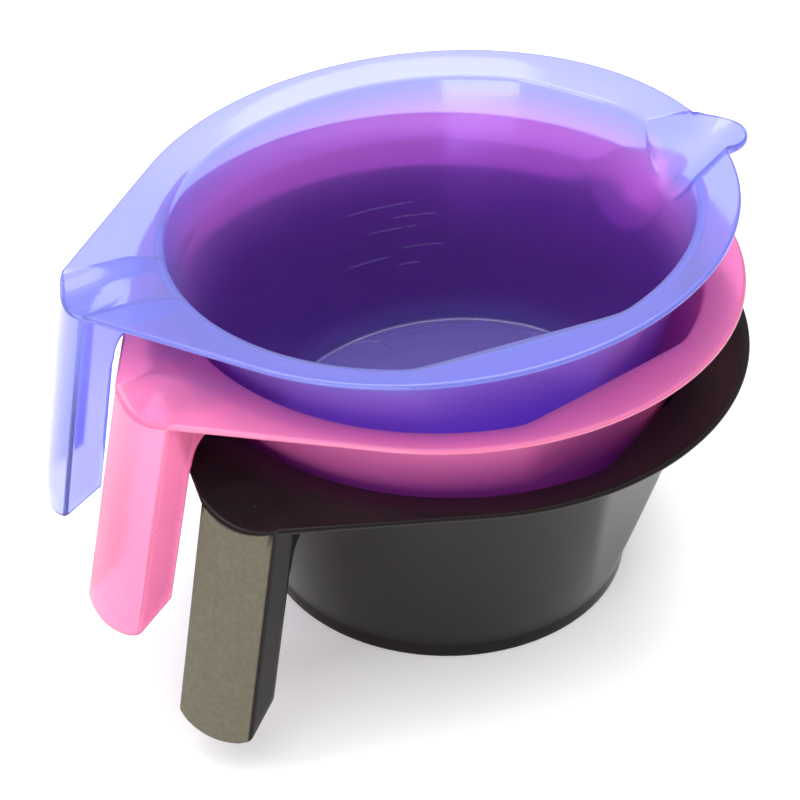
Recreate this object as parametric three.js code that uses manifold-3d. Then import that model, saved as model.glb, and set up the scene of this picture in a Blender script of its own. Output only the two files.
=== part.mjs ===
// A nest of three identical salon tint bowls, each one moulded in a single shot of
// polypropylene: a tapered cup with a flat wiping side, a wide flange, a pouring spout and a
// splayed, hollow-backed handle. Millimetres, +Z up, origin at the centre of the bottom
// bowl's underside. In a bowl's own frame the spout points to +X and the handle to -X.
import * as THREE from 'three';
import { mergeVertices } from 'three/addons/utils/BufferGeometryUtils.js';
import Module from 'manifold-3d';

const wasm = await Module();
wasm.setup();

// --- Driving dimensions of one bowl ---
const RIM_Z = 58.5; // height of the inner rim above the table
const RIM_R = 57; // inside radius at the rim
const WALL_SLOPE = Math.tan(THREE.MathUtils.degToRad(17));
const SHELL_T = 1.4; // moulded thickness of wall, flange, spout and handle
const FLOOR_T = 1.9;
const FOOT_H = 3.4; // upright band at the foot of the wall
const FOOT_PROUD = 0.1;
const FOOT_EDGE = 0.6; // chamfer under the foot
const FLOOR_CORNER = 1; // chamfer round the floor, inside
const FLANGE_R = 66;
const FLANGE_RISE = 2.3; // the flange climbs outward by this much
const RIM_GAP = 0.05; // shortest step between two rings of one surface

// Flat sides of the wall: direction seen from above, and distance of the plane at the rim.
// Both planes run down into the round foot of the wall.
const FLATS = [
  { direction: THREE.MathUtils.degToRad(-90), rimDistance: 52.6 },
  { direction: THREE.MathUtils.degToRad(35), rimDistance: 55.9 },
];

// Handle
const HANDLE_HALF_W = 9.25;
const HANDLE_CORNER = 78.2; // distance of the handle's upper corners from the axis
const HANDLE_BULGE = 1.4; // its outer face is a bow across the width
const HANDLE_SPLAY = Math.tan(THREE.MathUtils.degToRad(13.3));
const HANDLE_FOOT_Z = 11.3;
const LEG_DEPTH = 8; // side legs behind the face
const LEG_CUT = 6; // the legs end this much higher at the back than at the face
const ARCH_TOP_Z = RIM_Z - 3.6; // underside of the webs that join the legs to the wall
const ARCH_R = 6.5;
const WEB_FOOT_Z = RIM_Z - 12;
const WEB_PROUD = 0.7; // the webs end as small ribs on the wall
const DISH_DEPTH = 2.2; // thumb rest over the handle, open at the face
const DISH_CENTRE = 78.5;
const DISH_HALF_L = 11.7;
const SIDE_INSET = 0.01; // the legs' outer sides stay just inside the face's edges

// Spout
const SPOUT_ROOT = 55.3; // where its edges leave the inner rim
const SPOUT_HALF_W = 13.3;
const SPOUT_TIP_R = 7.8;
const SPOUT_TIP = 73.6;
const SPOUT_VALLEY_ROOT = 54.4;
const SPOUT_VALLEY_Z = RIM_Z - 10;
const SPOUT_VALLEY_END_Z = RIM_Z + 1.4;
const SPOUT_EDGE_Z = RIM_Z + 2.9;
const SPOUT_NOSE_FLAT = 0.3; // the tip's outline ends on a short straight of this depth

// --- The nest: rotation about the bowl's axis, lean, and place of each bowl's underside ---
const NEST = [
  {
    name: 'bottom_bowl', colour: 0x1b191b, roughness: 0.35,
    spin: 57, leanX: 0, leanY: 0, at: [0, 0, 0],
  },
  {
    name: 'middle_bowl', colour: 0xf2619f, roughness: 0.3,
    spin: 39.7, leanX: -1, leanY: -0.9, at: [-1.2, -0.9, 15.5],
  },
  {
    name: 'top_bowl', colour: 0x7d78ee, roughness: 0.25,
    spin: 19.1, leanX: -0.8, leanY: -4.9, at: [0.6, 0.3, 31.2],
  },
];

const ROUND_SEGMENTS = 64;
const ARC_SEGMENTS = 8;
const WALL_STEPS = [0, 1 / 3, 2 / 3, 1];
const FLANGE_STEPS = [0, 0.25, 0.45, 0.6, 0.75, 0.88, 1];
const HANDLE_STEPS = [0.25, 0.5, 0.75, 1];
const SPOUT_STEPS_ALONG = 9;
const SPOUT_STEPS_ACROSS = 8;
const MERGE_DISTANCE = 1e-5;
const CUT_CLEARANCE = 8; // cutting solids run past the part by this much

// A closed geometry, with its seams merged, becomes a solid that can be joined and cut.
function solidFrom(geometry) {
  const bare = geometry.clone();
  bare.deleteAttribute('normal');
  bare.deleteAttribute('uv');
  const merged = mergeVertices(bare, MERGE_DISTANCE);
  return new wasm.Manifold(new wasm.Mesh({
    numProp: 3,
    vertProperties: new Float32Array(merged.attributes.position.array),
    triVerts: new Uint32Array(merged.index.array),
  }));
}

function geometryFrom(solid) {
  const mesh = solid.getMesh();
  const vertices = new Float32Array(mesh.vertProperties);
  const geometry = new THREE.BufferGeometry();
  geometry.setAttribute('position', new THREE.BufferAttribute(vertices, 3));
  geometry.setIndex(new THREE.BufferAttribute(new Uint32Array(mesh.triVerts), 1));
  geometry.computeVertexNormals();
  return geometry;
}

// Angles of the rays round the axis: evenly spaced, with more of them across the handle.
const HANDLE_CORNER_ANGLE = Math.atan2(HANDLE_HALF_W, HANDLE_CORNER);
const ANGLES = [...Array(ROUND_SEGMENTS).keys()].map((i) => (i / ROUND_SEGMENTS) * 2 * Math.PI);
for (const t of HANDLE_STEPS) {
  ANGLES.push(Math.PI - t * HANDLE_CORNER_ANGLE, Math.PI + t * HANDLE_CORNER_ANGLE);
}
ANGLES.sort((a, b) => a - b);

// A closed solid round the bowl's axis. Each ring is a function of the angle that gives
// [radius, height]; the first and last are single points on the axis.
function polarSolid(bottomZ, rings, topZ) {
  const positions = [0, 0, bottomZ];
  for (const ring of rings) {
    for (const angle of ANGLES) {
      const [r, z] = ring(angle);
      positions.push(r * Math.cos(angle), r * Math.sin(angle), z);
    }
  }
  const top = positions.length / 3;
  positions.push(0, 0, topZ);
  const at = (ring, i) => 1 + ring * ANGLES.length + (i % ANGLES.length);
  const triangles = [];
  for (let i = 0; i < ANGLES.length; i++) {
    triangles.push(0, at(0, i + 1), at(0, i));
    for (let ring = 0; ring + 1 < rings.length; ring++) {
      triangles.push(at(ring, i), at(ring, i + 1), at(ring + 1, i + 1));
      triangles.push(at(ring, i), at(ring + 1, i + 1), at(ring + 1, i));
    }
    triangles.push(at(rings.length - 1, i), at(rings.length - 1, i + 1), top);
  }
  return closedSolid(positions, triangles);
}

function closedSolid(positions, triangles) {
  const geometry = new THREE.BufferGeometry();
  geometry.setAttribute('position', new THREE.Float32BufferAttribute(positions, 3));
  geometry.setIndex(triangles);
  return solidFrom(geometry);
}

// Radius of the cup's wall at an angle and height; offset 0 is the inside face.
function wallRadius(angle, z, offset) {
  const drop = RIM_Z - z;
  const floorEdgeDrop = RIM_Z - FLOOR_T - FOOT_H;
  const footRadius = RIM_R - floorEdgeDrop * WALL_SLOPE;
  let radius = RIM_R + offset - drop * WALL_SLOPE;
  for (const flat of FLATS) {
    const facing = Math.cos(angle - flat.direction);
    if (facing <= 0) continue;
    const slope = (flat.rimDistance - footRadius) / floorEdgeDrop;
    radius = Math.min(radius, (flat.rimDistance + offset - drop * slope) / facing);
  }
  return radius;
}

const WALL_OFFSET = SHELL_T / Math.cos(Math.atan(WALL_SLOPE));

function cupBody() {
  const outer = (z) => (angle) => [wallRadius(angle, z, WALL_OFFSET), z];
  const footRadius = RIM_R + WALL_OFFSET + FOOT_PROUD - (RIM_Z - FOOT_H) * WALL_SLOPE;
  const wallRings = WALL_STEPS.map((t) => outer(THREE.MathUtils.lerp(FOOT_H, RIM_Z, t)));
  return polarSolid(0, [
    () => [footRadius - FOOT_EDGE, 0],
    () => [footRadius, FOOT_EDGE],
    () => [footRadius, FOOT_H - RIM_GAP],
    ...wallRings,
  ], RIM_Z);
}

function cupCavity() {
  const stepZ = FLOOR_T + FOOT_H;
  const aboveZ = RIM_Z + CUT_CLEARANCE;
  const inner = (z) => (angle) => [wallRadius(angle, z, 0), z];
  const stepRadius = RIM_R - (RIM_Z - stepZ) * WALL_SLOPE - RIM_GAP;
  const wallRings = WALL_STEPS.map((t) => inner(THREE.MathUtils.lerp(stepZ, RIM_Z, t)));
  return polarSolid(FLOOR_T, [
    () => [stepRadius - FLOOR_CORNER, FLOOR_T],
    () => [stepRadius, FLOOR_T + FLOOR_CORNER],
    ...wallRings,
    inner(aboveZ),
  ], aboveZ);
}

// The flange's outline: a circle, its tangents to the handle's corners, and the bow of the
// handle's face between them.
const HANDLE_BOW_R = (HANDLE_HALF_W ** 2 + HANDLE_BULGE ** 2) / (2 * HANDLE_BULGE);
const HANDLE_BOW_CENTRE = HANDLE_CORNER + HANDLE_BULGE - HANDLE_BOW_R;

function outlineRadius(angle) {
  const fromHandle = Math.abs(Math.PI - angle);
  const cornerRadius = Math.hypot(HANDLE_CORNER, HANDLE_HALF_W);
  const tangentAngle = HANDLE_CORNER_ANGLE + Math.acos(FLANGE_R / cornerRadius);
  if (fromHandle > tangentAngle) return FLANGE_R;
  if (fromHandle > HANDLE_CORNER_ANGLE) return FLANGE_R / Math.cos(tangentAngle - fromHandle);
  const across = HANDLE_BOW_CENTRE * Math.sin(fromHandle);
  return HANDLE_BOW_CENTRE * Math.cos(fromHandle) + Math.sqrt(HANDLE_BOW_R ** 2 - across ** 2);
}

// Height of the flange's upper face, with the thumb rest dished into it over the handle.
function flangeHeight(angle, radius) {
  const innerRadius = wallRadius(angle, RIM_Z, 0);
  const climb = THREE.MathUtils.clamp((radius - innerRadius) / (FLANGE_R - innerRadius), 0, 1);
  const along = (-radius * Math.cos(angle) - DISH_CENTRE) / DISH_HALF_L;
  const across = (radius * Math.sin(angle)) / HANDLE_HALF_W;
  const dish = Math.max(0, 1 - along ** 2 - across ** 2) * DISH_DEPTH;
  return RIM_Z + FLANGE_RISE * climb - dish;
}

// One ring on the flange, t of the way out to its edge and some way below its upper face.
const flangeRing = (t, below) => (angle) => {
  const inner = wallRadius(angle, RIM_Z, -RIM_GAP);
  const radius = THREE.MathUtils.lerp(inner, outlineRadius(angle), t);
  return [radius, flangeHeight(angle, radius) - below];
};

function flange() {
  const underside = FLANGE_STEPS.map((t) => flangeRing(t, SHELL_T));
  const upperSide = FLANGE_STEPS.map((t) => flangeRing(t, 0)).reverse();
  return polarSolid(RIM_Z - SHELL_T, [...underside, ...upperSide], RIM_Z);
}

// The space over the flange, which trims the handle to the thumb rest.
function aboveFlange() {
  const edge = flangeRing(1, 0);
  const pastEdge = (angle) => [edge(angle)[0] + CUT_CLEARANCE, edge(angle)[1]];
  const ceiling = (angle) => [pastEdge(angle)[0], RIM_Z + CUT_CLEARANCE];
  const upperSide = FLANGE_STEPS.map((t) => flangeRing(t, 0));
  return polarSolid(RIM_Z, [...upperSide, pastEdge, ceiling], RIM_Z + CUT_CLEARANCE);
}

// A plate with its outline in the X-Z plane, between two values of Y.
function platePiece(outline, fromY, toY) {
  const geometry = new THREE.ExtrudeGeometry(outline, {
    depth: toY - fromY, bevelEnabled: false, curveSegments: ARC_SEGMENTS,
  });
  geometry.rotateX(Math.PI / 2);
  geometry.translate(0, toY, 0);
  return solidFrom(geometry);
}

// X of the handle's face at a height, at its corners and at the middle of the bow.
const faceX = (z, bulge) => -(HANDLE_CORNER + bulge + (RIM_Z + FLANGE_RISE - z) * HANDLE_SPLAY);

// X of the wall's outer face where a web of the handle meets it.
function webWallX(z) {
  const radius = RIM_R + WALL_OFFSET - (RIM_Z - z) * WALL_SLOPE;
  return -Math.sqrt(radius ** 2 - HANDLE_HALF_W ** 2);
}

// One side of the handle: the leg behind the face, and the arched web to the wall.
function handleSide(sign) {
  const topZ = RIM_Z + FLANGE_RISE - SHELL_T / 2;
  const rootZ = RIM_Z - SHELL_T / 2;
  const legBackX = (z) => faceX(z, 0) + LEG_DEPTH;
  const archStartZ = ARCH_TOP_Z - ARCH_R;
  const webEndX = (z) => webWallX(z) - WEB_PROUD;
  const outline = new THREE.Shape();
  outline.moveTo(faceX(topZ, 0), topZ);
  outline.lineTo(faceX(HANDLE_FOOT_Z, 0), HANDLE_FOOT_Z);
  outline.lineTo(legBackX(HANDLE_FOOT_Z + LEG_CUT), HANDLE_FOOT_Z + LEG_CUT);
  outline.lineTo(legBackX(archStartZ), archStartZ);
  outline.quadraticCurveTo(
    legBackX(ARCH_TOP_Z), ARCH_TOP_Z, legBackX(archStartZ) + ARCH_R, ARCH_TOP_Z);
  outline.lineTo(webEndX(ARCH_TOP_Z) - ARCH_R / 2, ARCH_TOP_Z);
  outline.quadraticCurveTo(
    webEndX(ARCH_TOP_Z), ARCH_TOP_Z, webEndX(WEB_FOOT_Z), WEB_FOOT_Z);
  outline.lineTo(webWallX(WEB_FOOT_Z) + SHELL_T / 2, WEB_FOOT_Z);
  outline.lineTo(webWallX(rootZ) + SHELL_T / 2, rootZ);
  outline.lineTo(-FLANGE_R, topZ);
  outline.closePath();
  const outerY = HANDLE_HALF_W - SIDE_INSET;
  const innerY = HANDLE_HALF_W - SHELL_T;
  return sign > 0 ? platePiece(outline, innerY, outerY) : platePiece(outline, -outerY, -innerY);
}

// The bowed face plate, leaning outward toward its foot.
function handleFace() {
  const halfAngle = Math.asin(HANDLE_HALF_W / HANDLE_BOW_R);
  const innerR = HANDLE_BOW_R - SHELL_T;
  const section = new THREE.Shape();
  section.absarc(0, 0, HANDLE_BOW_R, Math.PI - halfAngle, Math.PI + halfAngle, false);
  section.absarc(0, 0, innerR, Math.PI + halfAngle, Math.PI - halfAngle, true);
  section.closePath();
  const topZ = RIM_Z + FLANGE_RISE - SHELL_T / 2;
  const geometry = new THREE.ExtrudeGeometry(section, {
    depth: topZ - HANDLE_FOOT_Z, bevelEnabled: false, curveSegments: ARC_SEGMENTS,
  });
  const footOffset = (RIM_Z + FLANGE_RISE - HANDLE_FOOT_Z) * HANDLE_SPLAY;
  const lean = new THREE.Matrix4().set(
    1, 0, HANDLE_SPLAY, -HANDLE_BOW_CENTRE - footOffset,
    0, 1, 0, 0,
    0, 0, 1, HANDLE_FOOT_Z,
    0, 0, 0, 1);
  geometry.applyMatrix4(lean);
  return solidFrom(geometry);
}

// --- Spout ---
const SPOUT_TIP_CENTRE = SPOUT_TIP - SPOUT_TIP_R;

function spoutHalfWidth(x) {
  const back = Math.hypot(SPOUT_TIP_CENTRE - SPOUT_ROOT, SPOUT_HALF_W);
  const taper = Math.tan(
    Math.atan2(SPOUT_HALF_W, SPOUT_TIP_CENTRE - SPOUT_ROOT) - Math.asin(SPOUT_TIP_R / back));
  const tangentX = SPOUT_TIP_CENTRE + SPOUT_TIP_R * Math.sin(Math.atan(taper));
  if (x < tangentX) return SPOUT_HALF_W - (x - SPOUT_ROOT) * taper;
  return Math.sqrt(Math.max(SPOUT_TIP_R ** 2 - (x - SPOUT_TIP_CENTRE) ** 2, 0));
}

function spoutValley(x) {
  const t = (x - SPOUT_VALLEY_ROOT) / (SPOUT_TIP - SPOUT_VALLEY_ROOT);
  return THREE.MathUtils.lerp(SPOUT_VALLEY_Z, SPOUT_VALLEY_END_Z, t);
}

// The channel is a parabola across; its edges would reach the edge line at full width.
function spoutSurface(x, y) {
  const edgeT = THREE.MathUtils.clamp((x - SPOUT_ROOT) / (FLANGE_R - SPOUT_ROOT), -1, 1);
  const edgeZ = THREE.MathUtils.lerp(RIM_Z, SPOUT_EDGE_Z, edgeT);
  const fullHalfW = spoutHalfWidth(Math.min(x, SPOUT_TIP_CENTRE));
  return spoutValley(x) + (edgeZ - spoutValley(x)) * (y / fullHalfW) ** 2;
}

// A solid between two surfaces, over the spout's outline from one X to another.
function spoutSolid(startX, endX, lower, upper) {
  const alongSteps = SPOUT_STEPS_ALONG;
  const acrossSteps = SPOUT_STEPS_ACROSS;
  const positions = [];
  for (const height of [lower, upper]) {
    for (let i = 0; i <= alongSteps; i++) {
      const t = i / alongSteps;
      const x = THREE.MathUtils.lerp(startX, endX, Math.sin(t * Math.PI / 2));
      const halfW = spoutHalfWidth(Math.min(x, SPOUT_TIP - SPOUT_NOSE_FLAT));
      for (let j = 0; j <= acrossSteps; j++) {
        const y = halfW * (2 * j / acrossSteps - 1);
        positions.push(x, y, height(x, y));
      }
    }
  }
  const row = acrossSteps + 1;
  const layer = row * (alongSteps + 1);
  const at = (level, i, j) => level * layer + i * row + j;
  const triangles = [];
  const quad = (a, b, c, d) => triangles.push(a, b, c, a, c, d);
  for (let i = 0; i < alongSteps; i++) {
    for (let j = 0; j < acrossSteps; j++) {
      quad(at(0, i, j), at(0, i, j + 1), at(0, i + 1, j + 1), at(0, i + 1, j));
      quad(at(1, i, j), at(1, i + 1, j), at(1, i + 1, j + 1), at(1, i, j + 1));
    }
    quad(at(0, i, 0), at(0, i + 1, 0), at(1, i + 1, 0), at(1, i, 0));
    const side = acrossSteps;
    quad(at(0, i, side), at(1, i, side), at(1, i + 1, side), at(0, i + 1, side));
  }
  for (let j = 0; j < acrossSteps; j++) {
    const end = alongSteps;
    quad(at(0, 0, j), at(1, 0, j), at(1, 0, j + 1), at(0, 0, j + 1));
    quad(at(0, end, j), at(0, end, j + 1), at(1, end, j + 1), at(1, end, j));
  }
  return closedSolid(positions, triangles);
}

function bowlSolid() {
  const insideX = SPOUT_VALLEY_ROOT - CUT_CLEARANCE;
  const spoutUnderside = (x, y) => spoutSurface(x, y) - SHELL_T;
  const aboveSpout = () => SPOUT_EDGE_Z + CUT_CLEARANCE;
  const spoutBody = spoutSolid(insideX, SPOUT_TIP, spoutUnderside, spoutSurface);
  const spoutCut = spoutSolid(insideX, SPOUT_TIP, spoutSurface, aboveSpout);
  return cupBody()
    .add(flange())
    .add(handleFace().subtract(aboveFlange()))
    .add(handleSide(1))
    .add(handleSide(-1))
    .subtract(spoutCut)
    .add(spoutBody)
    .subtract(cupCavity());
}

const bowlGeometry = geometryFrom(bowlSolid());

function placedBowl({ name, colour, roughness, spin, leanX, leanY, at }) {
  const material = new THREE.MeshStandardMaterial({ color: colour, roughness, metalness: 0 });
  const mesh = new THREE.Mesh(bowlGeometry, material);
  mesh.name = name;
  mesh.rotation.z = THREE.MathUtils.degToRad(spin);
  const seat = new THREE.Group();
  seat.rotation.set(THREE.MathUtils.degToRad(leanX), THREE.MathUtils.degToRad(leanY), 0);
  seat.position.set(...at);
  seat.add(mesh);
  return seat;
}

const group = new THREE.Group();
for (const bowl of NEST) group.add(placedBowl(bowl));

export default group;
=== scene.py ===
"""Looks for a nest of three salon tint bowls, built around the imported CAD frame.

Each bowl is one moulded shell. It is made here once, in millimetres, in the bowl's own frame
(spout to +X, handle to -X, underside at z = 0), then placed three times and given its plastic.
"""
import math

import bpy
import numpy as np
from mathutils import Matrix, Vector


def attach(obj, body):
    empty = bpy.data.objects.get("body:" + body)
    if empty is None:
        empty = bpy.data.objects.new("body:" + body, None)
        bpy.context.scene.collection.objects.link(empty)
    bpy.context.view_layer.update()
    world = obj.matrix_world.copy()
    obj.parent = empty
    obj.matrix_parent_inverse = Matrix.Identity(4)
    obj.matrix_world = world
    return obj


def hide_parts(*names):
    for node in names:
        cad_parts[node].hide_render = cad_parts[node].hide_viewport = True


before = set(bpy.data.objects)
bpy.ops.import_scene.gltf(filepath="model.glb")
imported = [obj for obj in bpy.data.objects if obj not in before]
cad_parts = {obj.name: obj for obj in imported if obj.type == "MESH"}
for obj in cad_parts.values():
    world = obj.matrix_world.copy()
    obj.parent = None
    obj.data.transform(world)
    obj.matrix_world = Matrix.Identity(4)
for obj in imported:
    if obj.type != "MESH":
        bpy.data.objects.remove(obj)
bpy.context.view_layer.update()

MM = 0.001
DEG = math.pi / 180

# --- Driving dimensions of one bowl, in millimetres ---
RIM_Z = 58.5
RIM_R = 57.0
WALL_LEAN = 17 * DEG
WALL_SLOPE = math.tan(WALL_LEAN)
SHELL_T = 1.4
FLOOR_T = 1.9
FLOOR_GRID = (4, 12, 22, 31, 37)   # radii of the floor's rings
FLOOR_ROUND = 1.0                  # rounding between the floor and the wall
FOOT_H = 3.4
FOOT_PROUD = 0.1
FOOT_ROUND = 0.7
RECESS = 0.35                      # height of the underside over the ring that it stands on
FLANGE_R = 66.0
FLANGE_RISE = 2.3
FLANGE_EASE = 0.25                 # how much steeper the flange climbs at the rim than overall
FLATS = ((-90 * DEG, 52.6), (35 * DEG, 55.9))   # direction, and distance from the axis at the rim
FLAT_SOFTNESS = 1.1                # rounding beside a flat at the rim
FLAT_SOFTNESS_LEAST = 0.05         # the share of it that is left at the foot
FLAT_FACING = 0.3                  # a flat only shapes directions whose cosine to it is larger

HANDLE_HALF_W = 9.25
HANDLE_CORNER = 78.2
HANDLE_BULGE = 1.4
HANDLE_SPLAY = math.tan(13.3 * DEG)
HANDLE_FOOT_Z = 11.3
HANDLE_EDGE = 0.6                  # rounding between the handle's face and its legs
EDGE_START = 0.95                  # the share of the face's half width where it starts
FOOT_DROOP = 1.4                   # the face's lower edge hangs lower in the middle
LEG_DEPTH = 8.0
LEG_CUT = 6.0
ARCH_TOP_Z = RIM_Z - 3.6
ARCH_R = 6.5
WEB_FOOT_Z = RIM_Z - 12
WEB_PROUD = 0.7
WEB_EDGE = 0.4
DISH_DEPTH = 2.2                   # the thumb rest's dish over the handle
DISH_CENTRE = 78.5
DISH_HALF_L = 11.7
DISH_SOFTNESS = 0.12

SPOUT_ROOT = 55.3
SPOUT_HALF_W = 13.3
SPOUT_TIP_R = 7.8
SPOUT_TIP = 73.6
SPOUT_VALLEY_ROOT = 54.4           # the channel's bottom starts here, at the height below
SPOUT_VALLEY_Z = RIM_Z - 10
SPOUT_VALLEY_END_Z = RIM_Z + 1.4
SPOUT_EDGE_Z = RIM_Z + 2.9
SPOUT_START = SPOUT_ROOT - 6       # nearer the axis there is no spout
SPOUT_SECTOR = 20 * DEG            # the spout lies within this angle on each side
SPOUT_SPREAD = 14 * DEG            # the grid follows the spout's outline within this angle
SPOUT_FLANK = 12 * DEG             # and leaves it over this angle
LIP_WIDTH = 1.6
CHANNEL_SOFTNESS = 0.5
CHANNEL_UNDER_SOFTNESS = 0.8
SPOUT_FILLET = 0.9

# Moulded marks: a measuring line is its distance below the rim, and its ends in degrees.
MEASURING_LINES = ((28, 77, 97), (31, 71, 84), (33.5, 77, 92), (38.2, 70, 83), (39.7, 86, 99),
                   (42, 77, 84))
LINE_WIDTH, LINE_HEIGHT, LINE_STEPS = 0.5, 0.1, 6
LINE_GAP = 0.02 * DEG              # keeps a line's straight bars from sharing a face
RING_DIRECTION, RING_FROM_AXIS = 104.5 * DEG, 33.6
RING_R, RING_HALF_W, RING_H = 5.8, 0.28, 0.16
GATE_X = -(DISH_CENTRE - 6.1)
GATE_TOP = 0.28
GATE_PROFILE = ((0.3, 0.24), (0.55, 0.05), (0.62, -0.5))   # radius, height on the thumb rest

# Where a bowl's plastic changes its look, with painted glow and painted shade on the cup's wall
FACE_REACH = 0.12                  # the handle's face, to this far off its true surface
FACE_MARGIN = 0.2                  # and without this much at its sides
CUP_MARGIN = 2.5                   # the cup, to this far outside the wall's inside face
PAINTED_TINT_FADE = 12                      # depth over which the flange's own tint turns into the wall's painted glow and shade
DEEP_FADE = 27                     # depth over which the wall gets clear and its painted glow turns into painted shade
FLOOR_FADE_Z, FLOOR_FADE_H = 3, 5  # from this height, over this much, floor turns into wall
FLOOR_DEEP = 0.6                   # how deep the floor counts
FLOOR_VIOLET = 0.3                 # how far the floor's tint is the wall's

STEP_Z = FLOOR_T + FOOT_H
WALL_OFFSET = SHELL_T / math.cos(math.atan(WALL_SLOPE))
HALF_T = SHELL_T / 2
MID_FLANGE_Z = RIM_Z + FLANGE_RISE - HALF_T     # the handle and webs end inside the flange
BOW_R = (HANDLE_HALF_W ** 2 + HANDLE_BULGE ** 2) / (2 * HANDLE_BULGE)
BOW_CENTRE = HANDLE_CORNER + HANDLE_BULGE - BOW_R
SPOUT_TIP_CENTRE = SPOUT_TIP - SPOUT_TIP_R
OFF_AXIS = 50                      # the flange's faces are only asked for outside this radius
LEAST_STEP = 0.1                   # least distance between two rings that must not cross

# --- The nest: spin about the bowl's axis, lean about X and Y (degrees), place (mm) ---
NEST = {
    "bottom_bowl": (57.0, 0.0, 0.0, (0.0, 0.0, 0.0)),
    "middle_bowl": (39.7, -1.0, -0.9, (-1.2, -0.9, 15.5)),
    "top_bowl": (19.1, -0.8, -4.9, (0.6, 0.3, 31.2)),
}


def lerp(a, b, t):
    """The value a share t of the way from a to b."""
    return a + (b - a) * t


def smooth_step(t):
    """Rises from 0 to 1 as t does, and starts and ends level."""
    t = np.clip(t, 0, 1)
    return t * t * (3 - 2 * t)


def smooth_min(a, b, k):
    """The lower of two heights, with the crease between them rounded over a height of k."""
    h = np.clip(0.5 + 0.5 * (b - a) / k, 0, 1)
    return lerp(b, a, h) - k * h * (1 - h)


# --- One bowl's surfaces ---
def wall_radius(angle, z, offset):
    """Radius of the cup's wall: offset 0 is its inside face, WALL_OFFSET its outside."""
    drop = RIM_Z - z
    foot_radius = RIM_R - (RIM_Z - STEP_Z) * WALL_SLOPE
    radius = RIM_R + offset - drop * WALL_SLOPE + 0 * angle
    softness = FLAT_SOFTNESS * np.clip((z - STEP_Z) / (RIM_Z - STEP_Z), FLAT_SOFTNESS_LEAST, 1)
    for direction, rim_distance in FLATS:
        facing = np.cos(angle - direction)
        slope = (rim_distance - foot_radius) / (RIM_Z - STEP_Z)
        plane = (rim_distance + offset - drop * slope) / np.maximum(facing, FLAT_FACING)
        radius = np.where(facing > FLAT_FACING, smooth_min(radius, plane, softness), radius)
    return radius


def spout_half_width(x):
    """Half the spout's width: straight sides, tangent to a round nose."""
    back = math.hypot(SPOUT_TIP_CENTRE - SPOUT_ROOT, SPOUT_HALF_W)
    half_angle = math.atan2(SPOUT_HALF_W, SPOUT_TIP_CENTRE - SPOUT_ROOT)
    taper = math.tan(half_angle - math.asin(SPOUT_TIP_R / back))
    tangent_x = SPOUT_TIP_CENTRE + SPOUT_TIP_R * math.sin(math.atan(taper))
    side = SPOUT_HALF_W - (x - SPOUT_ROOT) * taper
    nose = np.sqrt(np.maximum(SPOUT_TIP_R ** 2 - (x - SPOUT_TIP_CENTRE) ** 2, 0))
    return np.where(x < tangent_x, side, nose)


def spout_edge(x):
    """Height of the spout's raised sides."""
    t = np.clip((x - SPOUT_ROOT) / (FLANGE_R - SPOUT_ROOT), -1, 1)
    return lerp(RIM_Z, SPOUT_EDGE_Z, t)


def spout_channel(x, y):
    """Height of the pouring channel, and how steeply it climbs sideways."""
    t = (x - SPOUT_VALLEY_ROOT) / (SPOUT_TIP - SPOUT_VALLEY_ROOT)
    valley = lerp(SPOUT_VALLEY_Z, SPOUT_VALLEY_END_Z, t)
    half_w = spout_half_width(np.minimum(x, SPOUT_TIP_CENTRE))
    depth = spout_edge(x) - valley
    return valley + depth * (y / half_w) ** 2, 2 * depth * np.abs(y) / half_w ** 2


def flange_top(angle, r):
    """Height of the flange's upper face, with the thumb rest's dish over the handle."""
    inner = wall_radius(angle, RIM_Z, 0)
    climb = np.clip((r - inner) / (FLANGE_R - inner), 0, 1)
    climb = climb * (1 + FLANGE_EASE - FLANGE_EASE * climb ** 4)
    along = (-r * np.cos(angle) - DISH_CENTRE) / DISH_HALF_L
    across = r * np.sin(angle) / HANDLE_HALF_W
    dish = -smooth_min(along ** 2 + across ** 2 - 1, 0, DISH_SOFTNESS) * DISH_DEPTH
    return RIM_Z + FLANGE_RISE * np.clip(climb, 0, 1) - dish


def top_surface(angle, r):
    """Height of the flange's upper face, with the spout's channel let into it."""
    x, y = r * np.cos(angle), r * np.sin(angle)
    flange = flange_top(angle, r)
    past_side = np.abs(y) - spout_half_width(x)
    lip = flange + (spout_edge(x) - flange) * (1 - smooth_step(past_side / LIP_WIDTH))
    channel, _ = spout_channel(x, y)
    near = (x > SPOUT_START) & (past_side < LIP_WIDTH * 3)
    return np.where(near, smooth_min(channel, lip, CHANNEL_SOFTNESS), flange)


def under_surface(angle, r):
    """Height of the flange's lower face, with the spout's channel hanging below it."""
    x, y = r * np.cos(angle), r * np.sin(angle)
    plain = top_surface(angle, r) - SHELL_T
    channel, steepness = spout_channel(x, y)
    channel = channel - SHELL_T * np.sqrt(1 + steepness ** 2)
    near = (x > SPOUT_START) & (np.abs(y) < spout_half_width(x) + LIP_WIDTH)
    return np.where(near, smooth_min(channel, plain, CHANNEL_UNDER_SOFTNESS), plain)


def solve(low, high, below):
    """Where below(r) turns from true to false, between two radii, for every angle."""
    for _ in range(40):
        middle = (low + high) / 2
        inside = below(middle)
        low, high = np.where(inside, middle, low), np.where(inside, high, middle)
    return (low + high) / 2


def outline_radius(angle):
    """The flange's outline without the spout: a circle, and the handle's tangents and bow."""
    from_handle = np.abs(np.pi - np.mod(angle, 2 * np.pi))
    corner = math.atan2(HANDLE_HALF_W, HANDLE_CORNER)
    tangent = corner + math.acos(FLANGE_R / math.hypot(HANDLE_CORNER, HANDLE_HALF_W))
    line = FLANGE_R / np.cos(np.clip(tangent - from_handle, 0, tangent))
    across = BOW_CENTRE * np.sin(np.minimum(from_handle, corner))
    bow = BOW_CENTRE * np.cos(from_handle) + np.sqrt(BOW_R ** 2 - across ** 2)
    handle = np.where(from_handle < corner, bow, line)
    return np.where(from_handle < tangent, handle, FLANGE_R + 0 * angle)


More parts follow.
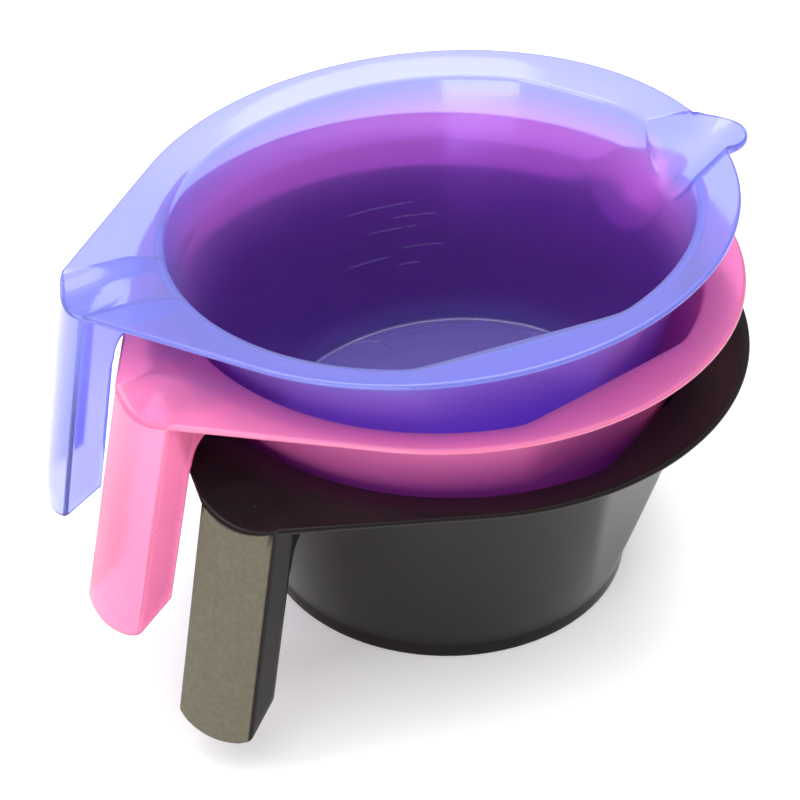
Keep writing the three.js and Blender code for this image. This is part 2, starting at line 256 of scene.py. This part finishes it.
def off_spout(angle):
    """How far a direction turns away from the spout's middle."""
    return np.abs(np.mod(angle + np.pi, 2 * np.pi) - np.pi)


def spout_reach(angle):
    """Radius where a ray from the axis leaves the spout's outline, or 0 beside the spout."""
    spread = off_spout(angle)
    reach = solve(0 * angle + SPOUT_ROOT - 4, 0 * angle + SPOUT_TIP + 1,
                  lambda r: r * np.sin(spread) < spout_half_width(r * np.cos(spread)))
    return np.where(spread < SPOUT_SECTOR, reach, 0)


def column_angles():
    """Angles of the grid's columns, closer together at the spout and the handle."""
    # From the spout round to the handle: start, end and step, in degrees
    density = [(0, 16, 0.45), (16, 40, 0.9), (40, 163, 1.25), (163, 171.5, 0.6),
               (171.5, 176, 0.25), (176, 180, 0.5)]
    half = [0.0]
    for start, end, step in density:
        count = math.ceil((end - start) / step)
        half += list(np.linspace(start, end, count + 1)[1:])
    half = np.array(half)
    return np.concatenate([half, 360 - half[-2:0:-1]]) * DEG


def corner_rings(start, corner, end, count):
    """Rings of a rounded corner between two points of a profile."""
    rings = []
    for t in np.linspace(0, 1, count):
        a, b = lerp(start, corner, t), lerp(corner, end, t)
        rings.append(lerp(a, b, t))
    return rings


def towards(origin, target, distance):
    """Points at a distance from the origin points, on the way to the target points."""
    step = target - origin
    return origin + step * (distance / np.linalg.norm(step, axis=1, keepdims=True))


def rz(r, z):
    """Profile points, one row for each angle."""
    r, z = np.broadcast_arrays(np.asarray(r, float), np.asarray(z, float))
    return np.stack([r, z], axis=1)


def crease(angle, offset, surface, inward, outward):
    """Where a face of the wall meets a face of the flange, looked for this far from the rim."""
    rim_r = wall_radius(angle, RIM_Z, offset)

    def wall_z(r):
        return RIM_Z - (rim_r - r) / WALL_SLOPE

    meeting = solve(rim_r - inward, rim_r + outward,
                    lambda r: wall_z(r) < surface(angle, np.maximum(r, OFF_AXIS)))
    z = wall_z(meeting)
    return rz(wall_radius(angle, z, offset), z)


def flange_reach(angle, wall_r):
    """Two radii of the flange's grid: its middle, which follows the spout, and its edge."""
    reach = spout_reach(angle)
    outline = outline_radius(angle)
    out = np.where(reach > 0, -smooth_min(-outline, -reach, SPOUT_FILLET), outline)
    spread = off_spout(angle)
    flank = smooth_step((spread - SPOUT_SPREAD) / SPOUT_FLANK)
    middle = lerp(wall_radius(angle, RIM_Z, 0), out, 0.45 * flank)
    middle = np.maximum(np.where(spread < SPOUT_SPREAD, reach, middle), wall_r + 0.3)
    edge_r = out - HALF_T
    return np.minimum(middle, edge_r - HALF_T / 2), edge_r


def floor_rings(angle):
    """The floor, and its rounded step up to the wall."""
    ones = 1 + 0 * angle
    step_r = wall_radius(angle, STEP_Z, 0) - 0.05
    rings = [rz(r * ones, FLOOR_T) for r in FLOOR_GRID]
    rings += corner_rings(rz(step_r - FLOOR_ROUND, FLOOR_T * ones), rz(step_r, FLOOR_T * ones),
                          rz(step_r, (FLOOR_T + FLOOR_ROUND) * ones), 5)
    low = rz(wall_radius(angle, STEP_Z + 0.7, 0), (STEP_Z + 0.7) * ones)
    rings += corner_rings(rz(step_r, (STEP_Z - 0.6) * ones), rz(step_r + 0.02, STEP_Z * ones), low, 4)
    return rings


def inside_rings(angle):
    """From the floor's middle up the wall, over the rim and out along the flange."""
    rings = floor_rings(angle)
    low = rings[-1]
    corner = crease(angle, 0, top_surface, 5, 0)
    start = towards(corner, low, 1.1)
    for t in np.linspace(0, 1, 16)[1:-1]:
        z = lerp(low[:, 1], start[:, 1], t)
        rings.append(rz(wall_radius(angle, z, 0), z))
    lift_r = corner[:, 0] + 0.9
    rings += corner_rings(start, corner, rz(lift_r, top_surface(angle, lift_r)), 7)
    middle, edge_r = flange_reach(angle, corner[:, 0])
    first = np.maximum(middle, lift_r + LEAST_STEP)
    edge_r = np.maximum(edge_r, first + LEAST_STEP)
    steps = np.linspace(0, 1, 15)[1:]
    radii = [lerp(lift_r, first, t) for t in steps] + [lerp(first, edge_r, t) for t in steps]
    rings += [rz(r, top_surface(angle, r)) for r in radii]
    return rings, edge_r, middle


def edge_rings(angle, edge_r):
    """The rounded outer edge, from the upper face to the lower one."""
    top = top_surface(angle, edge_r)
    bottom = under_surface(angle, edge_r)
    half = (top - bottom) / 2
    return [rz(edge_r + HALF_T * math.sin(a), top - half + half * math.cos(a))
            for a in np.linspace(0, math.pi, 9)[1:-1]]


def foot_rings(angle, above):
    """The foot, from the ring above it down to the underside's middle."""
    ones = 1 + 0 * angle
    foot_r = RIM_R + WALL_OFFSET + FOOT_PROUD - (RIM_Z - FOOT_H) * WALL_SLOPE
    rings = corner_rings(above, rz(foot_r * ones, FOOT_H * ones),
                         rz(foot_r * ones, (FOOT_H - 0.6) * ones), 6)
    rings += corner_rings(rz(foot_r * ones, FOOT_ROUND * ones), rz(foot_r * ones, 0 * ones),
                          rz((foot_r - FOOT_ROUND) * ones, 0 * ones), 5)
    stand = ((foot_r - 2.2, 0), (foot_r - 2.6, RECESS), (foot_r - 5, RECESS), (20, RECESS), (5, RECESS))
    return rings + [rz(r * ones, z) for r, z in stand]


def outside_rings(angle, edge_r, middle):
    """From the flange's edge back to the wall, down it, and under the foot to the axis."""
    corner = crease(angle, WALL_OFFSET, under_surface, 6, 1)
    lift_r = corner[:, 0] + 1.3
    first = np.clip(middle, lift_r + LEAST_STEP, edge_r - LEAST_STEP)
    steps = np.linspace(0, 1, 12)
    radii = [lerp(edge_r, first, t) for t in steps] + [lerp(first, lift_r, t) for t in steps[1:]]
    rings = [rz(r, under_surface(angle, r)) for r in radii]
    foot_top = FOOT_H + 0.6
    low = rz(wall_radius(angle, foot_top, WALL_OFFSET), foot_top)
    wall_start = towards(corner, low, SHELL_T)
    under_flange = rings.pop()
    rings += corner_rings(under_flange, corner, wall_start, 7)
    for t in np.linspace(0, 1, 16)[1:]:
        z = lerp(wall_start[:, 1], foot_top, t)
        rings.append(rz(wall_radius(angle, z, WALL_OFFSET), z))
    above_foot = rings.pop()
    return rings + foot_rings(angle, above_foot)


def shell_mesh():
    """The cup, flange and spout as one closed grid of rings round the axis."""
    angle = column_angles()
    inner, edge_r, middle = inside_rings(angle)
    rings = inner + edge_rings(angle, edge_r) + outside_rings(angle, edge_r, middle)
    cos, sin = np.cos(angle), np.sin(angle)
    points = [np.array([[0, 0, FLOOR_T]])]
    points += [np.stack([ring[:, 0] * cos, ring[:, 0] * sin, ring[:, 1]], axis=1) for ring in rings]
    points.append(np.array([[0, 0, RECESS]]))
    count = len(angle)
    faces = []

    def at(ring, i):
        return 1 + ring * count + i % count

    last = 1 + len(rings) * count
    for i in range(count):
        faces.append((0, at(0, i), at(0, i + 1)))
        for ring in range(len(rings) - 1):
            faces.append((at(ring, i), at(ring + 1, i), at(ring + 1, i + 1), at(ring, i + 1)))
        faces.append((at(len(rings) - 1, i), last, at(len(rings) - 1, i + 1)))
    return np.concatenate(points), faces


# --- The handle ---
def face_x(z):
    """X of the handle's corners at a height."""
    return -(HANDLE_CORNER + (RIM_Z + FLANGE_RISE - z) * HANDLE_SPLAY)


def handle_centreline():
    """Middle line of the handle's U section, relative to its corners: leg, bow, leg."""
    radius = BOW_R - HALF_T
    side = HANDLE_HALF_W - HALF_T
    bow_x = BOW_R - HANDLE_BULGE
    half_angle = math.asin(side / radius)
    arc = [(bow_x - radius * math.cos(a), radius * math.sin(a))
           for a in np.linspace(half_angle, -half_angle, 25) * EDGE_START]
    corner = (bow_x - radius * math.cos(half_angle), side)
    leg = (corner[0] + HANDLE_EDGE, side)
    turn = [tuple(p) for p in corner_rings(np.array(leg), np.array(corner), np.array(arc[0]), 7)]
    leg_line = [(lerp(LEG_DEPTH - HALF_T, leg[0], t), side) for t in np.linspace(0, 1, 7)[:-1]]
    first = leg_line + turn
    last = [(x, -y) for x, y in reversed(first)]
    return np.array(first + arc[1:-1] + last)


def handle_top(section):
    """Where the handle's upper end lies, just inside the flange, for points of its section."""
    z = np.full(len(section), MID_FLANGE_Z)
    for _ in range(4):
        x = section[:, 0] + face_x(z)
        z = flange_top(np.arctan2(section[:, 1], x), np.hypot(x, section[:, 1])) - HALF_T
    return z


def handle_mesh():
    """The handle's bow and legs, hollow at the back, swept down from the flange."""
    line = handle_centreline()
    tangent = np.gradient(line, axis=0)
    tangent /= np.linalg.norm(tangent, axis=1, keepdims=True)
    normal = np.stack([tangent[:, 1], -tangent[:, 0]], axis=1)

    def tip(end, side, half):
        """The round end of a leg's wall, at the back."""
        return [line[end] + side * half * (math.cos(math.pi * t) * normal[end]
                                           + math.sin(math.pi * t) * tangent[end])
                for t in (0.25, 0.5, 0.75)]

    def section(half):
        """The U's closed outline, this far to each side of its middle line."""
        return np.concatenate([line + normal * half, tip(-1, 1, half),
                               (line - normal * half)[::-1], tip(0, -1, half)])

    base = section(HALF_T)
    spine = np.concatenate([line, np.repeat(line[-1:], 3, 0), line[::-1], np.repeat(line[:1], 3, 0)])
    foot = HANDLE_FOOT_Z + LEG_CUT * np.clip(spine[:, 0], 0, None) / LEG_DEPTH
    foot = foot - FOOT_DROOP * np.clip(1 - (spine[:, 1] / (HANDLE_HALF_W - HALF_T)) ** 2, 0, 1)
    levels = [(HALF_T, lerp(MID_FLANGE_Z, foot + HALF_T, t)) for t in np.linspace(0, 1, 16)]
    for turn in np.linspace(0, math.pi / 2, 6)[1:-1]:
        levels.append((HALF_T * math.cos(turn), foot + HALF_T * (1 - math.sin(turn))))
    points = []
    rim_dip = handle_top(base) - MID_FLANGE_Z
    for half, z in levels:
        flat = base if half == HALF_T else section(half)
        z = z + rim_dip * np.clip((z - foot) / (MID_FLANGE_Z - foot), 0, 1)
        points.append(np.stack([flat[:, 0] + face_x(z), flat[:, 1], z], axis=1))
    count, rows = len(base), len(levels)
    faces = []
    for a in range(0, (rows - 1) * count, count):
        for i in range(count):
            j = (i + 1) % count
            faces.append((a + count + i, a + count + j, a + j, a + i))
    # The upper and lower ends: a strip across the U's wall, and its two round tips
    n = len(line)
    for start, turned in ((0, False), ((rows - 1) * count, True)):
        cap = [(start + i, start + i + 1, start + 2 * n + 1 - i, start + 2 * n + 2 - i) for i in range(n - 1)]
        cap.append(tuple(start + n - 1 + i for i in range(5)))
        cap.append((start + 2 * n + 2, start + 2 * n + 3, start + 2 * n + 4, start + 2 * n + 5, start))
        faces += [face[::-1] for face in cap] if turned else cap
    return np.concatenate(points), faces


def web_outline():
    """The arched web between a leg and the wall, as points in X and Z."""
    def wall(z):
        radius = RIM_R + WALL_OFFSET - (RIM_Z - z) * WALL_SLOPE
        return -math.sqrt(radius ** 2 - HANDLE_HALF_W ** 2)

    def end(z):
        return wall(z) - WEB_PROUD

    def leg_back(z):
        return face_x(z) + LEG_DEPTH

    def curve(a, b, c):
        return [tuple(p) for p in corner_rings(np.array(a), np.array(b), np.array(c), 9)]

    arch_start = ARCH_TOP_Z - ARCH_R
    in_leg = leg_back(arch_start) - 1.2
    points = [(in_leg, MID_FLANGE_Z), (in_leg, arch_start - 2),
              (leg_back(arch_start - 2) - 0.3, arch_start - 2)]
    points += curve((leg_back(arch_start), arch_start), (leg_back(ARCH_TOP_Z), ARCH_TOP_Z),
                    (leg_back(arch_start) + ARCH_R, ARCH_TOP_Z))
    points += curve((end(ARCH_TOP_Z) - ARCH_R / 2, ARCH_TOP_Z), (end(ARCH_TOP_Z), ARCH_TOP_Z),
                    (end(WEB_FOOT_Z), WEB_FOOT_Z))
    points += [(wall(WEB_FOOT_Z) + HALF_T, WEB_FOOT_Z),
               (wall(RIM_Z - HALF_T) + HALF_T, RIM_Z - HALF_T), (-FLANGE_R, MID_FLANGE_Z)]
    return points


def web_mesh(sign):
    """The web on one side, as thick as a leg and just inside the leg's outer face."""
    outline = web_outline()
    near, far = sorted((sign * (HANDLE_HALF_W - 0.02), sign * (HANDLE_HALF_W - SHELL_T)))
    count = len(outline)
    points = [(x, near, z) for x, z in outline] + [(x, far, z) for x, z in outline]
    faces = [(count + i, count + (i + 1) % count, (i + 1) % count, i) for i in range(count)]
    faces += [tuple(range(count)), tuple(range(count, 2 * count))[::-1]]
    return np.array(points), faces


# --- Small moulded marks ---
def bar_mesh(a, b, width, height, normal):
    """A low rounded bar lying on a surface from a to b."""
    a, b, normal = np.array(a), np.array(b), np.array(normal)
    along = (b - a) / np.linalg.norm(b - a)
    side = np.cross(normal, along)
    profile = [(-0.5, -1.0), (-0.5, 0.2), (-0.3, 0.85), (0.3, 0.85), (0.5, 0.2), (0.5, -1.0)]
    points = [p + side * (u * width) + normal * (v * height) for p in (a, b) for u, v in profile]
    count = len(profile)
    faces = [(i, count + i, count + (i + 1) % count, (i + 1) % count) for i in range(count)]
    faces += [tuple(range(count)), tuple(range(count, 2 * count))[::-1]]
    return np.array(points), faces


def ring_mesh(centre, radius, tube, height):
    """A low raised ring on the floor."""
    profile = [(-1, -1), (-1, 0.3), (-0.5, 1), (0.5, 1), (1, 0.3), (1, -1)]
    turns, count = 48, len(profile)
    points = []
    for i in range(turns):
        a = 2 * math.pi * i / turns
        for u, v in profile:
            r = radius + tube * u
            points.append((centre[0] + r * math.cos(a), centre[1] + r * math.sin(a),
                           centre[2] + height * v))
    faces = [(i * count + j, i * count + (j + 1) % count,
              ((i + 1) % turns) * count + (j + 1) % count, ((i + 1) % turns) * count + j)
             for i in range(turns) for j in range(count)]
    return np.array(points), faces


def gate_mesh():
    """The small round stub of the moulding gate, in the middle of the thumb rest."""
    top = float(flange_top(np.array(math.pi), -GATE_X))
    points, faces = [(GATE_X, 0, top + GATE_TOP)], []
    turns = 20
    for r, z in GATE_PROFILE:
        for i in range(turns):
            a = 2 * math.pi * i / turns
            points.append((GATE_X + r * math.cos(a), r * math.sin(a), top + z))
    for i in range(turns):
        j = (i + 1) % turns
        faces.append((0, 1 + i, 1 + j))
        for ring in (0, 1):
            low = 1 + ring * turns
            faces.append((low + i, low + turns + i, low + turns + j, low + j))
    faces.append(tuple(range(1 + 2 * turns, 1 + 3 * turns))[::-1])
    return np.array(points), faces


def wall_point(angle, below_rim):
    """A point on the wall's inside face."""
    z = RIM_Z - below_rim
    r = float(wall_radius(np.array(angle), z, 0))
    return (r * math.cos(angle), r * math.sin(angle), z)


def mark_meshes():
    """Measuring lines on the wall and a ring on the floor."""
    pieces = []
    for below_rim, start, end in MEASURING_LINES:
        stops = [lerp(start, end, i / LINE_STEPS) * DEG for i in range(LINE_STEPS + 1)]
        for a, b in zip(stops, stops[1:]):
            middle = (a + b) / 2
            normal = (-math.cos(middle) * math.cos(WALL_LEAN), -math.sin(middle) * math.cos(WALL_LEAN),
                      math.sin(WALL_LEAN))
            pieces.append(bar_mesh(wall_point(a, below_rim), wall_point(b - LINE_GAP, below_rim),
                                   LINE_WIDTH, LINE_HEIGHT, normal))
    centre = (RING_FROM_AXIS * math.cos(RING_DIRECTION), RING_FROM_AXIS * math.sin(RING_DIRECTION), FLOOR_T)
    pieces.append(ring_mesh(centre, RING_R, RING_HALF_W, RING_H))
    return pieces


# --- Building the meshes in Blender ---
def new_object(name, points, faces):
    """A mesh object from points and faces, linked to the scene."""
    mesh = bpy.data.meshes.new(name)
    mesh.from_pydata([tuple(p) for p in points], [], [tuple(int(i) for i in f) for f in faces])
    mesh.validate()
    piece = bpy.data.objects.new(name, mesh)
    bpy.context.scene.collection.objects.link(piece)
    return piece


def apply_modifiers(piece):
    """Gives a piece the mesh that its modifiers make, and removes them."""
    graph = bpy.context.evaluated_depsgraph_get()
    mesh = bpy.data.meshes.new_from_object(piece.evaluated_get(graph))
    piece.modifiers.clear()
    piece.data = mesh


def unite(piece, other):
    """Joins another closed mesh into a piece, and removes it."""
    union = piece.modifiers.new("unite", "BOOLEAN")
    union.operation = "UNION"
    union.solver = "MANIFOLD"
    union.object = other
    apply_modifiers(piece)
    bpy.data.objects.remove(other)


def bowl_mesh():
    """One whole bowl in metres, in its own frame."""
    bowl = new_object("bowl", *shell_mesh())
    unite(bowl, new_object("handle", *handle_mesh()))
    for sign in (1, -1):
        web = new_object("web", *web_mesh(sign))
        bevel = web.modifiers.new("edge", "BEVEL")
        bevel.width, bevel.segments, bevel.angle_limit = WEB_EDGE, 3, 50 * DEG
        apply_modifiers(web)
        unite(bowl, web)
    for mark in [gate_mesh()] + mark_meshes():
        unite(bowl, new_object("mark", *mark))
    mesh = bowl.data
    mesh.transform(Matrix.Scale(MM, 4))
    mesh.shade_smooth()
    mesh.set_sharp_from_angle(angle=32 * DEG)
    bpy.data.objects.remove(bowl)
    mark_regions(mesh)
    return mesh


def mark_regions(mesh):
    """Marks three regions: the handle's matt face, whose lighter colour is partly painted sheen; the cup,
    with its share of the wall's painted glow and shade; and its lower part as deep, where painted shade takes
    over and the wall gets clearer.
    """
    grain_and_sheen, cup, deep = [mesh.attributes.new(name, "FLOAT", "POINT") for name in ("grain_and_sheen", "cup", "deep")]
    for i, vertex in enumerate(mesh.vertices):
        x, y, z = vertex.co / MM
        bow = math.sqrt(max(BOW_R ** 2 - y ** 2, 0)) - (BOW_R - HANDLE_BULGE)
        on_face = abs(x - (face_x(z) - bow)) < FACE_REACH and abs(y) < HANDLE_HALF_W - FACE_MARGIN
        grain_and_sheen.data[i].value = 1.0 if on_face and z < RIM_Z + 1 else 0.0
        in_cup = math.hypot(x, y) < RIM_R + CUP_MARGIN - (RIM_Z - z) * WALL_SLOPE
        above_floor = smooth_step((z - FLOOR_FADE_Z) / FLOOR_FADE_H)
        # The share of the wall's painted glow and shade: none at the rim, growing with depth, and less on the
        # floor.
        painted_tint_share = smooth_step((RIM_Z - z) / PAINTED_TINT_FADE) * lerp(FLOOR_VIOLET, 1, above_floor)
        cup.data[i].value = float(painted_tint_share) if in_cup else 0.0
        deep.data[i].value = float(smooth_step((RIM_Z - z) / DEEP_FADE) * lerp(FLOOR_DEEP, 1, above_floor))


def place_bowl(mesh, node, material):
    """Puts a copy of the bowl in its place in the nest, in its own plastic."""
    spin, lean_x, lean_y, at = NEST[node]
    # The lean turns about Y first and X after it, as nested rotations in X, Y, Z order do.
    lean = Matrix.Rotation(lean_x * DEG, 3, "X") @ Matrix.Rotation(lean_y * DEG, 3, "Y")
    turn = (lean @ Matrix.Rotation(spin * DEG, 3, "Z")).to_4x4()
    own = mesh.copy()
    own.transform(Matrix.Translation(Vector(at) * MM) @ turn)
    piece = bpy.data.objects.new(node + "_shell", own)
    bpy.context.scene.collection.objects.link(piece)
    own.materials.clear()
    own.materials.append(material)
    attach(piece, node)
    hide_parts(node)


# --- Materials ---
def node_setup(name):
    """A new material with its node tree and its Principled shader."""
    material = bpy.data.materials.new(name)
    material.use_nodes = True
    tree = material.node_tree
    return material, tree, tree.nodes["Principled BSDF"]


def noise(tree, scale, detail=3.0, stretch=(1, 1, 1)):
    """Noise with about scale features in a metre."""
    where = tree.nodes.new("ShaderNodeTexCoord")
    mapping = tree.nodes.new("ShaderNodeMapping")
    mapping.inputs["Scale"].default_value = stretch
    texture = tree.nodes.new("ShaderNodeTexNoise")
    texture.inputs["Scale"].default_value = scale
    texture.inputs["Detail"].default_value = detail
    tree.links.new(where.outputs["Object"], mapping.inputs["Vector"])
    tree.links.new(mapping.outputs["Vector"], texture.inputs["Vector"])
    return texture.outputs["Fac"]


def remap(tree, value, from_low, from_high, to_low, to_high):
    """Stretches one range of values to another, and clamps it."""
    node = tree.nodes.new("ShaderNodeMapRange")
    node.inputs["From Min"].default_value = from_low
    node.inputs["From Max"].default_value = from_high
    node.inputs["To Min"].default_value = to_low
    node.inputs["To Max"].default_value = to_high
    tree.links.new(value, node.inputs["Value"])
    return node.outputs["Result"]


def blend(tree, factor, first, second):
    """Mixes two colours by a factor; each is a plain colour or another node's output."""
    mix = tree.nodes.new("ShaderNodeMix")
    mix.data_type = "RGBA"
    for name, colour in (("A", first), ("B", second)):
        if isinstance(colour, bpy.types.NodeSocket):
            tree.links.new(colour, mix.inputs[name])
        else:
            mix.inputs[name].default_value = (*colour, 1)
    tree.links.new(factor, mix.inputs["Factor"])
    return mix.outputs["Result"]


def bump(tree, height, strength, distance, after=None):
    """Surface relief from a height, on top of an earlier relief."""
    node = tree.nodes.new("ShaderNodeBump")
    node.inputs["Strength"].default_value = strength
    node.inputs["Distance"].default_value = distance
    tree.links.new(height, node.inputs["Height"])
    if after is not None:
        tree.links.new(after, node.inputs["Normal"])
    return node.outputs["Normal"]


def attribute(tree, name):
    """One of the values that mark_regions stored on the mesh."""
    node = tree.nodes.new("ShaderNodeAttribute")
    node.attribute_name = name
    return node.outputs["Fac"]


def clear_plastic(name, edge, upper, lower, absorbed, density, roughness, clearness):
    """Clear coloured plastic: the colour deepens with the length of plastic looked through.

    edge tints the flange and handle in the plastic's own colour; upper and lower are painted light on the
    cup's wall: a painted glow in the upper wall and painted shade in the lower wall.
    clearness is how much light goes through at the rim and at the foot.
    """
    material, tree, shader = node_setup(name)
    cloud = remap(tree, noise(tree, 22), 0.35, 0.7, 0, 1)
    clouded_edge = blend(tree, cloud, edge, [c * 0.94 for c in edge])
    deep = attribute(tree, "deep")
    # The cup's tint is painted light: a painted glow under the rim turning to painted shade deeper down,
    # while the flange keeps the plastic's own tint.
    tint = blend(tree, attribute(tree, "cup"), clouded_edge, blend(tree, deep, upper, lower))
    tree.links.new(tint, shader.inputs["Base Color"])
    tree.links.new(remap(tree, deep, 0, 1, *clearness), shader.inputs["Transmission Weight"])
    spread = remap(tree, noise(tree, 60), 0.3, 0.7, roughness, roughness + 0.06)
    tree.links.new(spread, shader.inputs["Roughness"])
    shader.inputs["IOR"].default_value = 1.49
    ripple = bump(tree, noise(tree, 60, 2), 0.12, 0.0004)
    tree.links.new(bump(tree, noise(tree, 400, 3), 0.03, 0.0001, ripple), shader.inputs["Normal"])
    volume = tree.nodes.new("ShaderNodeVolumeAbsorption")
    volume.inputs["Color"].default_value = (*absorbed, 1)
    volume.inputs["Density"].default_value = density
    tree.links.new(volume.outputs["Volume"], tree.nodes["Material Output"].inputs["Volume"])
    return material


def black_plastic():
    """Black plastic, polished except for the fine spark texture on the handle's face, whose lighter
    olive-grey colour is partly a painted sheen.
    """
    material, tree, shader = node_setup("black_plastic")
    grain_and_sheen = attribute(tree, "grain_and_sheen")
    # The face's olive-grey is partly the spark texture's own grey and partly a painted sheen of the light
    # falling on it from the front left.
    face = blend(tree, remap(tree, noise(tree, 900, 6), 0.3, 0.7, 0, 1),
                 (0.09, 0.081, 0.058), (0.111, 0.1, 0.073))
    tree.links.new(blend(tree, grain_and_sheen, (0.008, 0.0065, 0.0075), face), shader.inputs["Base Color"])
    tree.links.new(remap(tree, grain_and_sheen, 0, 1, 0.24, 0.46), shader.inputs["Roughness"])
    shader.inputs["IOR"].default_value = 1.5
    shader.inputs["Specular IOR Level"].default_value = 0.14
    shader.inputs["Specular Tint"].default_value = (1.0, 0.9, 0.8, 1)
    ripple = bump(tree, noise(tree, 70, 2), 0.15, 0.0004)
    streaks = bump(tree, noise(tree, 240, 5, (1, 1, 0.08)), 0.1, 0.0001, ripple)
    spark = tree.nodes.new("ShaderNodeMath")
    spark.operation = "MULTIPLY"
    tree.links.new(noise(tree, 1100, 3), spark.inputs[0])
    tree.links.new(grain_and_sheen, spark.inputs[1])
    tree.links.new(bump(tree, spark.outputs["Value"], 0.5, 0.0002, streaks), shader.inputs["Normal"])
    return material


def floor_material():
    """A smooth white sweep that glows a little, as a lit studio table does."""
    material, _, shader = node_setup("white_sweep")
    shader.inputs["Base Color"].default_value = (0.93, 0.93, 0.93, 1)
    shader.inputs["Roughness"].default_value = 0.22
    shader.inputs["Emission Color"].default_value = (1, 0.985, 0.98, 1)
    shader.inputs["Emission Strength"].default_value = 0.2
    return material


# --- Camera, light and floor ---
def make_camera():
    """The viewer stands in front, at the height and distance that show the nest as it is."""
    data = bpy.data.cameras.new("camera")
    camera = bpy.data.objects.new("camera", data)
    bpy.context.scene.collection.objects.link(camera)
    bpy.context.scene.camera = camera
    target = Vector((-0.0104, 0, 0.03953))
    distance, elevation, roll = 0.5756, 37.4 * DEG, 0.117 * DEG
    data.sensor_width = 36
    data.lens = 115.5
    data.clip_start, data.clip_end = 0.05, 20
    back = Vector((0, -math.cos(elevation), math.sin(elevation)))
    camera.location = target + back * distance
    camera.rotation_mode = "QUATERNION"
    aim = (-back).to_track_quat("-Z", "Y").to_matrix() @ Matrix.Rotation(roll, 3, "Z")
    camera.rotation_quaternion = aim.to_quaternion()


def area_light(name, place, size, power):
    """A soft white panel that faces the nest."""
    data = bpy.data.lights.new(name, "AREA")
    data.shape = "RECTANGLE"
    data.size, data.size_y = size
    data.energy = power
    light = bpy.data.objects.new(name, data)
    light.location = place
    light.rotation_mode = "QUATERNION"
    light.rotation_quaternion = (Vector((0, 0, 0.04)) - Vector(place)).to_track_quat("-Z", "Y")
    bpy.context.scene.collection.objects.link(light)


def make_world():
    """A white studio, brightest overhead."""
    world = bpy.data.worlds.new("studio")
    world.use_nodes = True
    tree = world.node_tree
    background = tree.nodes["Background"]
    background.inputs["Color"].default_value = (1, 1, 1, 1)
    where = tree.nodes.new("ShaderNodeTexCoord")
    split = tree.nodes.new("ShaderNodeSeparateXYZ")
    tree.links.new(where.outputs["Generated"], split.inputs["Vector"])
    overhead = remap(tree, split.outputs["Z"], 0.55, 0.95, 0.5, 2.5)
    tree.links.new(overhead, background.inputs["Strength"])
    bpy.context.scene.world = world


def make_stage():
    """The floor, the studio round it and its lights."""
    half = 3.0
    corners = [(-half, -half, 0), (half, -half, 0), (half, half, 0), (-half, half, 0)]
    floor = new_object("floor", corners, [(0, 1, 2, 3)])
    floor.data.materials.append(floor_material())
    make_world()
    area_light("softbox_back", (-0.1, 0.35, 1.2), (1.0, 0.8), 8.5)
    area_light("front_fill", (-0.6, -1.1, 0.3), (0.9, 0.5), 8)
    area_light("softbox_left", (-0.9, -0.3, 0.9), (0.4, 0.5), 2.5)
    bpy.context.scene.view_settings.view_transform = "Standard"


make_camera()
make_stage()
MESH = bowl_mesh()
# The upper and lower wall tints are painted light: the blue's violet-pink upper tint paints the pink bowl's
# glow through it, and the darker lower tints paint shade deep in the cup.
BLUE = clear_plastic("blue_plastic", edge=(0.37, 0.4, 1.0), upper=(0.72, 0.42, 1.0),
                     lower=(0.5, 0.26, 1.0), absorbed=(0.02, 0.05, 0.97), density=90,
                     roughness=0.1, clearness=(0.72, 0.94))
PINK = clear_plastic("pink_plastic", edge=(1.0, 0.27, 0.52), upper=(1.0, 0.28, 0.6),
                     lower=(1.0, 0.2, 0.56), absorbed=(0.98, 0.3, 0.6), density=30,
                     roughness=0.2, clearness=(0.5, 0.7))
place_bowl(MESH, "bottom_bowl", black_plastic())
place_bowl(MESH, "middle_bowl", PINK)
place_bowl(MESH, "top_bowl", BLUE)
